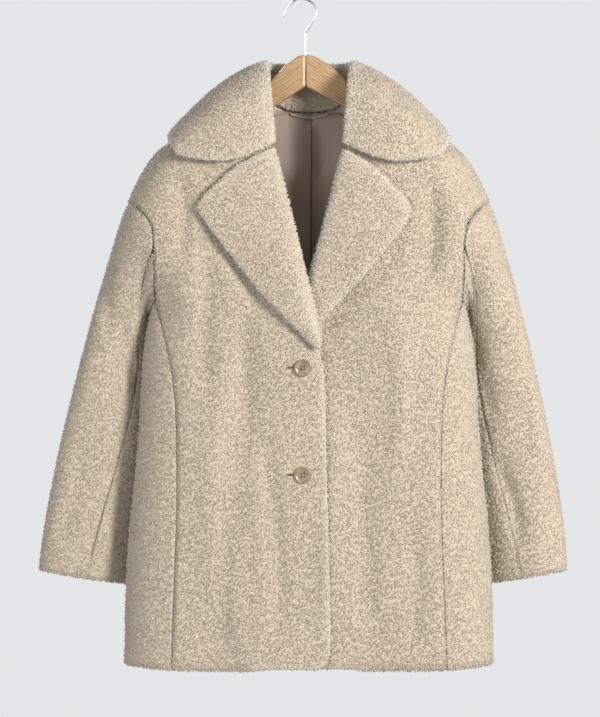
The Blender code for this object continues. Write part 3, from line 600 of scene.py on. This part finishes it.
def tuft_network():
    tree = bpy.data.node_groups.new("fur tufts", "GeometryNodeTree")
    face = tree.interface
    face.new_socket("Skin", in_out="INPUT", socket_type="NodeSocketGeometry")
    for name, value in (("Density", TUFTS_EACH_M2), ("Length", TUFT_LONG), ("Width", TUFT_WIDE)):
        face.new_socket(name, in_out="INPUT", socket_type="NodeSocketFloat").default_value = value
    face.new_socket("Seed", in_out="INPUT", socket_type="NodeSocketInt").default_value = 1
    face.new_socket("Tufts", in_out="OUTPUT", socket_type="NodeSocketGeometry")
    new, link = tree.nodes.new, tree.links.new
    given, result = new("NodeGroupInput").outputs, new("NodeGroupOutput")

    share = new("GeometryNodeInputNamedAttribute")
    share.inputs["Name"].default_value = "pile"
    count = new("ShaderNodeMath")
    count.operation = "MULTIPLY"
    link(given["Density"], count.inputs[0])
    link(share.outputs["Attribute"], count.inputs[1])
    scatter = new("GeometryNodeDistributePointsOnFaces")
    link(given["Skin"], scatter.inputs["Mesh"])
    link(count.outputs[0], scatter.inputs["Density"])
    link(given["Seed"], scatter.inputs["Seed"])

    tuft = new("GeometryNodeMeshCone")
    tuft.fill_type = "NONE"
    tuft.inputs["Vertices"].default_value = TUFT_SIDES
    tuft.inputs["Radius Top"].default_value = 0.0
    link(given["Width"], tuft.inputs["Radius Bottom"])
    link(given["Length"], tuft.inputs["Depth"])
    place = new("GeometryNodeInputPosition")
    split = new("ShaderNodeSeparateXYZ")
    link(place.outputs[0], split.inputs[0])
    rise = new("ShaderNodeMath")
    rise.operation = "DIVIDE"
    link(split.outputs["Z"], rise.inputs[0])
    link(given["Length"], rise.inputs[1])
    height = new("GeometryNodeStoreNamedAttribute")
    height.data_type, height.domain = "FLOAT", "POINT"
    height.inputs["Name"].default_value = "height"
    link(tuft.outputs["Mesh"], height.inputs["Geometry"])
    link(rise.outputs[0], height.inputs["Value"])
    soft = new("GeometryNodeSetShadeSmooth")
    link(height.outputs[0], soft.inputs["Geometry"])

    stray = new("FunctionNodeRandomValue")
    stray.data_type = "FLOAT_VECTOR"
    stray.inputs[0].default_value = (-STRAY,) * 3
    stray.inputs[1].default_value = (STRAY,) * 3
    lean = new("ShaderNodeVectorMath")
    lean.operation = "ADD"
    link(scatter.outputs["Normal"], lean.inputs[0])
    link(stray.outputs[0], lean.inputs[1])
    nap = new("ShaderNodeVectorMath")
    nap.operation = "ADD"
    link(lean.outputs[0], nap.inputs[0])
    nap.inputs[1].default_value = NAP
    turn = new("FunctionNodeAlignRotationToVector")
    turn.axis = "Z"
    link(nap.outputs[0], turn.inputs["Vector"])
    size = new("FunctionNodeRandomValue")
    size.data_type = "FLOAT"
    size.inputs[2].default_value, size.inputs[3].default_value = TUFT_SIZES
    grow = new("GeometryNodeInstanceOnPoints")
    link(scatter.outputs["Points"], grow.inputs["Points"])
    link(soft.outputs[0], grow.inputs["Instance"])
    link(turn.outputs[0], grow.inputs["Rotation"])
    link(size.outputs[1], grow.inputs["Scale"])
    tint = new("FunctionNodeRandomValue")
    tint.data_type = "FLOAT"
    tint.inputs["Seed"].default_value = SHADE_SEED
    shade = new("GeometryNodeStoreNamedAttribute")
    shade.data_type, shade.domain = "FLOAT", "INSTANCE"
    shade.inputs["Name"].default_value = "shade"
    link(grow.outputs[0], shade.inputs["Geometry"])
    link(tint.outputs[1], shade.inputs["Value"])
    real = new("GeometryNodeRealizeInstances")
    link(shade.outputs[0], real.inputs[0])
    paint = new("GeometryNodeSetMaterial")
    paint.inputs["Material"].default_value = pile.made
    link(real.outputs[0], paint.inputs["Geometry"])
    link(paint.outputs[0], result.inputs[0])
    return tree


TUFTS = tuft_network()


def grow_pile(skin, piece, seed):
    """The pile of one piece, as a plain mesh of its own."""
    holder = put(piece + "_pile", skin.data)
    grown_by = holder.modifiers.new("tufts", "NODES")
    grown_by.node_group = TUFTS
    sockets = {s.name: s.identifier for s in TUFTS.interface.items_tree if s.in_out == "INPUT"}
    for name, value in (("Density", TUFTS_EACH_M2), ("Length", TUFT_LONG), ("Seed", seed)):
        grown_by[sockets[name]] = value
    made = evaluated_mesh(holder)
    holder.modifiers.clear()
    form = bmesh.new()
    form.from_mesh(made)
    lost = [v for v in form.verts if bare_at(v.co)] if piece == "front_right" else []
    loose = {v for first in lost for face in first.link_faces for v in face.verts}
    bmesh.ops.delete(form, geom=list(loose), context="VERTS")
    form.to_mesh(made)
    form.free()
    holder.data = made
    made.name = piece + "_pile"
    return holder


# %% [markdown]
# Each piece of fur cloth is now made in turn: its smooth skin, its creases, its seams
# and its pile. The table names each cut as a maker would.
# %% Fur cloth
CUTS = (
    # piece, cut width, cut length, share of that rectangle that is cloth
    ("back", 0.520, 0.820, 0.71),
    ("front_right", 0.270, 0.800, 0.75),
    ("front_left", 0.280, 0.800, 0.75),
    ("side_panel_right", 0.180, 0.510, 0.78),
    ("side_panel_left", 0.180, 0.510, 0.78),
    ("sleeve_upper_right", 0.210, 0.540, 0.80),
    ("sleeve_upper_left", 0.210, 0.540, 0.80),
    ("sleeve_under_right", 0.120, 0.470, 0.92),
    ("sleeve_under_left", 0.120, 0.470, 0.92),
    ("lapel_right", 0.140, 0.330, 0.48),
    ("lapel_left", 0.140, 0.330, 0.44),
    ("collar", 0.620, 0.190, 0.82),
)
for seed, (piece, width, length, share) in enumerate(CUTS, 1):
    skin, seam, border = smooth_skin(piece)
    mark_outside(skin, piece, border)
    dipped = dip_seams(skin, piece, nearest(seam)) if seam else 0
    hand_crease(skin, piece)
    fur = grow_pile(skin, piece, seed)
    for made in (skin, fur):
        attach(made, "root")
    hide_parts(piece)
    surface = sum(face.area for face in skin.data.polygons) / 2
    print("%s: %d faces, %d tufts, half surface %.3f, cut %.3f m2, %d dipped" % (
        piece, len(skin.data.polygons), len(fur.data.polygons) // 3, surface,
        width * length * share, dipped))

# %% [markdown]
# Satin is thin and slippery: it hangs in long soft pleats from the neck seam, and
# catches the light along them. Only the lining inside the back shows, in the neck.
# %% Lining and hanging loop
LININGS = (
    ("lining_back_right", 0.135, 0.720, 0.885),
    ("lining_back_left", 0.135, 0.720, 0.836),
    ("hanging_loop", 0.054, 0.010, 0.46),
)
for piece, width, length, share in LININGS:
    skin = smooth_skin(piece)[0]
    hand_crease(skin, piece)
    for face in skin.data.polygons:
        face.use_smooth = True
    skin.data.materials.append(satin.made)
    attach(skin, "root")
    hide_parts(piece)
    print(piece, "half surface %.4f, cut %.4f" % (
        sum(face.area for face in skin.data.polygons) / 2, width * length * share))

# %% [markdown]
# The wooden arms and the wire already have their true shape in the frame, so they stay
# and only get their finish. Pine shows its grain: on a hanger cut from two arms it runs
# down each slope, and the two directions meet in a chevron at the middle.
# %% Hanger and hook
for piece, finish in (("hanger_arm_right", wood_right), ("hanger_arm_left", wood_left),
                      ("hook", wire.made)):
    for entry in nodes[piece].material_slots:
        entry.material = finish
    print(piece, "finish:", finish.name)

# %% [markdown]
# A coat button is moulded with a raised rim and a dished middle, and is drilled with
# four holes that the thread crosses. The profile is turned, the holes are cut with
# Booleans, and the thread is a short stitch bent over each pair of holes.
# %% Buttons
BUTTON_PROFILE = (
    # radius, height off the cloth, as shares of the button's radius and thickness
    (0.90, 0.00), (0.985, 0.10), (1.0, 0.35), (1.0, 0.62), (0.97, 0.86), (0.91, 0.98),
    (0.84, 1.0), (0.76, 0.95), (0.70, 0.82), (0.62, 0.72), (0.30, 0.68),
)
BUTTON_TURNS, HOLE_TURNS = 48, 16
HOLE_OFF, HOLE_R = 0.20, 0.085          # shares of the radius
DISH = BUTTON_PROFILE[-1][1]            # height of the dished middle
THREAD_R, THREAD_STEPS = 0.00045, 8
THREAD_LIFT, THREAD_SINK = 0.0007, 0.0004   # height of a stitch's arch, depth of its ends
THREAD_PULL = 0.15                      # how far the two stitches are drawn together


def turned_button(name, centre, radius, thick):
    form = bmesh.new()
    step = 2 * math.pi / BUTTON_TURNS
    rings = []
    for out, up in BUTTON_PROFILE:
        rings.append([form.verts.new((centre.x + radius * out * math.cos(step * t),
                                      centre.y - thick * up,
                                      centre.z + radius * out * math.sin(step * t)))
                      for t in range(BUTTON_TURNS)])
    for first, second in zip(rings, rings[1:]):
        for t in range(BUTTON_TURNS):
            after = (t + 1) % BUTTON_TURNS
            form.faces.new((first[t], first[after], second[after], second[t]))
    form.faces.new(rings[0][::-1])
    form.faces.new(rings[-1])
    bmesh.ops.recalc_face_normals(form, faces=form.faces)
    mesh = as_mesh(form, name)
    made = put(name, mesh)
    mesh.materials.append(horn.made)
    return made


def drill(made, centre, radius, thick):
    """Cuts the four holes, one tool for all."""
    form = bmesh.new()
    for across in (-1, 1):
        for up in (-1, 1):
            turned = Matrix.Rotation(math.pi / 2, 4, "X")
            spot = Vector((centre.x + across * HOLE_OFF * radius, centre.y - thick / 2,
                           centre.z + up * HOLE_OFF * radius))
            bmesh.ops.create_cone(form, cap_ends=True, segments=HOLE_TURNS, radius1=radius * HOLE_R,
                                  radius2=radius * HOLE_R, depth=3 * thick,
                                  matrix=Matrix.Translation(spot) @ turned)
    mesh = as_mesh(form, "drill")
    tool = put("drill", mesh)
    cut = made.modifiers.new("holes", "BOOLEAN")
    cut.operation, cut.solver, cut.object = "DIFFERENCE", "EXACT", tool
    made.data = evaluated_mesh(made)
    made.modifiers.clear()
    bpy.data.objects.remove(tool)
    made.data.shade_smooth()
    made.data.set_sharp_from_angle(angle=math.radians(40))


def tube(name, points, radius, finish):
    """A thin tube along points, as a mesh."""
    curve = bpy.data.curves.new(name, "CURVE")
    curve.dimensions = "3D"
    run = curve.splines.new("POLY")
    run.points.add(len(points) - 1)
    for point, at in zip(run.points, points):
        point.co = (*at, 1.0)
    curve.bevel_depth, curve.bevel_resolution, curve.use_fill_caps = radius, 3, True
    made = put(name, curve)
    mesh = evaluated_mesh(made)
    bpy.data.objects.remove(made)
    mesh.materials.clear()
    mesh.materials.append(finish)
    return put(name, mesh)


for number in (1, 2):
    node = "button_%d" % number
    near, far = (Vector(corner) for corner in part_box(node))
    middle = (near + far) / 2
    radius, thick = (far.x - near.x) / 2, far.y - near.y
    seat = Vector((middle.x, far.y, middle.z))
    button = turned_button("coat_button_%d" % number, seat, radius, thick)
    drill(button, seat, radius, thick)
    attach(button, "root")
    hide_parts(node)
    face_y = seat.y - thick * DISH
    for row, up in enumerate((-1, 1)):
        arch = []
        for step in range(THREAD_STEPS + 1):
            share = step / THREAD_STEPS
            rise = math.sin(math.pi * share)
            arch.append((seat.x + (2 * share - 1) * HOLE_OFF * radius,
                         face_y - THREAD_LIFT * rise + THREAD_SINK,
                         seat.z + up * HOLE_OFF * radius * (1 - THREAD_PULL * rise)))
        stitch = tube("button_thread_%d_%d" % (number, row), arch, THREAD_R, thread.made)
        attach(stitch, "root")
    print(node, "radius %.1f mm, %d faces" % (radius * 1000, len(button.data.polygons)))

# %% [markdown]
# A buttonhole shows beside each button as a short slit, a small dark box of painted shadow
# where the cloth parts. Its edge is overcast with close stitches: Geometry Nodes set a
# small stitch at every step along its outline.
# %% Buttonholes
STITCH_GAP, STITCH_LONG, STITCH_R = 0.00075, 0.0017, 0.00034
SLIT_POINTS, SLIT_DEEP = 28, 0.003
SLIT_EDGE = 0.0003                      # the stitches' line lies this far outside the slit
SLIT_FORWARD, SLIT_UP = 0.0002, 0.0006  # where it sits beside the button's middle
# Painted shadow: the slit's dark box stands for the shade inside the buttonhole.
slit_shadow = Finish("buttonhole_shadow", 0.9)
slit_shadow.mottle(900.0, tone(52, 42, 35), tone(78, 64, 54))


def stitch_network():
    tree = bpy.data.node_groups.new("overcast stitches", "GeometryNodeTree")
    face = tree.interface
    face.new_socket("Outline", in_out="INPUT", socket_type="NodeSocketGeometry")
    for name, value in (("Gap", STITCH_GAP), ("Length", STITCH_LONG), ("Radius", STITCH_R)):
        face.new_socket(name, in_out="INPUT", socket_type="NodeSocketFloat").default_value = value
    face.new_socket("Stitches", in_out="OUTPUT", socket_type="NodeSocketGeometry")
    new, link = tree.nodes.new, tree.links.new
    given, result = new("NodeGroupInput").outputs, new("NodeGroupOutput")
    outline = new("GeometryNodeMeshToCurve")
    link(given["Outline"], outline.inputs["Mesh"])
    points = new("GeometryNodeCurveToPoints")
    points.mode = "LENGTH"
    link(outline.outputs[0], points.inputs["Curve"])
    link(given["Gap"], points.inputs["Length"])
    bead = new("GeometryNodeMeshIcoSphere")
    bead.inputs["Subdivisions"].default_value = 1
    link(given["Radius"], bead.inputs["Radius"])
    stretch = new("ShaderNodeMath")
    stretch.operation = "DIVIDE"
    link(given["Length"], stretch.inputs[0])
    link(given["Radius"], stretch.inputs[1])
    half = new("ShaderNodeMath")
    half.operation = "MULTIPLY"
    link(stretch.outputs[0], half.inputs[0])
    half.inputs[1].default_value = 0.5
    shape = new("ShaderNodeCombineXYZ")
    shape.inputs["Y"].default_value = 1.0
    shape.inputs["Z"].default_value = 1.0
    link(half.outputs[0], shape.inputs["X"])
    sew = new("GeometryNodeInstanceOnPoints")
    link(points.outputs["Points"], sew.inputs["Points"])
    link(bead.outputs[0], sew.inputs["Instance"])
    link(points.outputs["Rotation"], sew.inputs["Rotation"])
    link(shape.outputs[0], sew.inputs["Scale"])
    real = new("GeometryNodeRealizeInstances")
    link(sew.outputs[0], real.inputs[0])
    paint = new("GeometryNodeSetMaterial")
    paint.inputs["Material"].default_value = thread.made
    link(real.outputs[0], paint.inputs["Geometry"])
    link(paint.outputs[0], result.inputs[0])
    return tree


STITCHES = stitch_network()


def slit_outline(middle, grow=0.0):
    """Points round a long slot with round ends."""
    half, tall = SLIT_LONG / 2 + grow, SLIT_TALL / 4 + grow
    points = []
    for step in range(SLIT_POINTS):
        angle = 2 * math.pi * step / SLIT_POINTS
        along = math.copysign(half - tall, math.cos(angle))
        points.append((middle.x + along + tall * math.cos(angle), middle.y,
                       middle.z + tall * math.sin(angle)))
    return points


for number, middle in enumerate(BUTTON_MIDDLES, 1):
    spot = Vector((middle.x + SLIT_OFF, middle.y - SLIT_FORWARD, middle.z + SLIT_UP))
    mesh = bpy.data.meshes.new("buttonhole_edge")
    ring = slit_outline(spot, SLIT_EDGE)
    mesh.from_pydata(ring, [(k, (k + 1) % len(ring)) for k in range(len(ring))], [])
    sewn = put("buttonhole_stitches_%d" % number, mesh)
    sewn.modifiers.new("stitches", "NODES").node_group = STITCHES
    made = evaluated_mesh(sewn)
    sewn.modifiers.clear()
    sewn.data = made
    form = bmesh.new()
    inner = [form.verts.new(point) for point in slit_outline(spot)]
    outer = [form.verts.new((x, y + SLIT_DEEP, z)) for x, y, z in slit_outline(spot)]
    form.faces.new(inner)
    form.faces.new(outer[::-1])
    for k in range(len(inner)):
        after = (k + 1) % len(inner)
        form.faces.new((inner[k], outer[k], outer[after], inner[after]))
    bmesh.ops.recalc_face_normals(form, faces=form.faces)
    slit_mesh = as_mesh(form, "buttonhole")
    slit_mesh.materials.append(slit_shadow.made)
    slit = put("buttonhole_%d" % number, slit_mesh)
    for piece in (sewn, slit):
        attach(piece, "root")
    print("buttonhole", number, len(made.polygons), "stitch faces")
